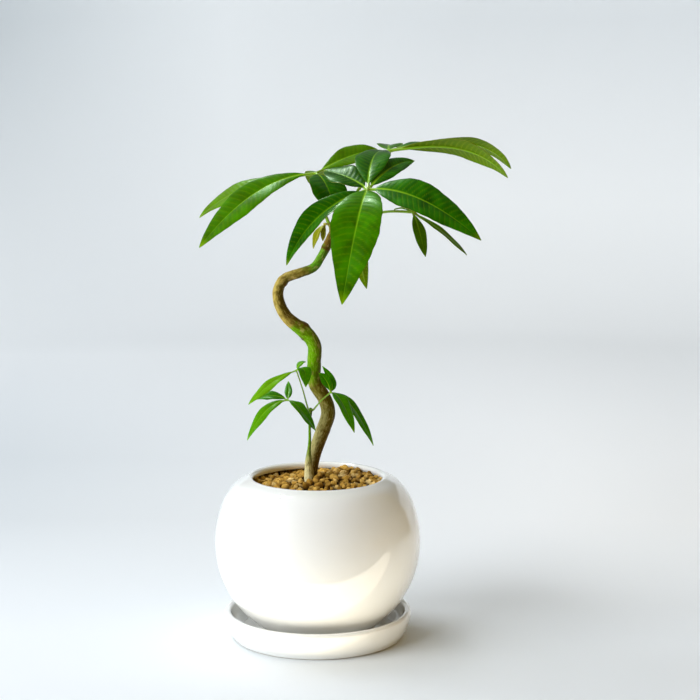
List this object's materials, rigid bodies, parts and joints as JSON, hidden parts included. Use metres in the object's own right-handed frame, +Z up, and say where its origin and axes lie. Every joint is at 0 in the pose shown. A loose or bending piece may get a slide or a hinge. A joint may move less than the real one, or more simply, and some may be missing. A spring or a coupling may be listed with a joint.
{
  "type": "potted money tree",
  "caption": "Young money tree with a curved trunk, fan leaves and a small sprout, in a round glazed pot that stands on its saucer.",
  "frame": {"origin": "centre of the saucer's flat base, on the surface that it stands on", "axes": "+Z up through the pot's axis, +X to the right and -Y towards the viewer as the plant is seen in the picture"},
  "size_m": [0.1811, 0.1259, 0.2874],
  "materials": {
    "saucer_glaze": "smooth white gloss glaze",
    "pot_glaze": "smooth white gloss glaze",
    "potting_soil": "dark crumbly potting soil",
    "baked_clay": "rough ochre baked clay granules",
    "trunk_bark": "thin green to tan bark",
    "sprout_bark": "thin tan to green bark",
    "crown_leaf": "leathery glossy deep green leaf",
    "young_leaf": "soft yellow-green young leaf",
    "sprout_leaf": "glossy mid green leaf"
  },
  "bodies": {
    "root": {"saucer": "saucer_glaze", "pot": "pot_glaze", "soil": "potting_soil", "clay_granules": "baked_clay", "trunk": "trunk_bark", "sprout_stem": "sprout_bark", "leaf_front": "crown_leaf", "leaf_left": "crown_leaf", "leaf_back_right": "crown_leaf", "leaf_low_right": "crown_leaf", "leaf_behind": "crown_leaf", "leaf_young": "young_leaf", "sprout_leaf_lower_left": "sprout_leaf", "sprout_leaf_upper_left": "sprout_leaf", "sprout_leaf_right": "sprout_leaf"}
  },
  "joints": []
}
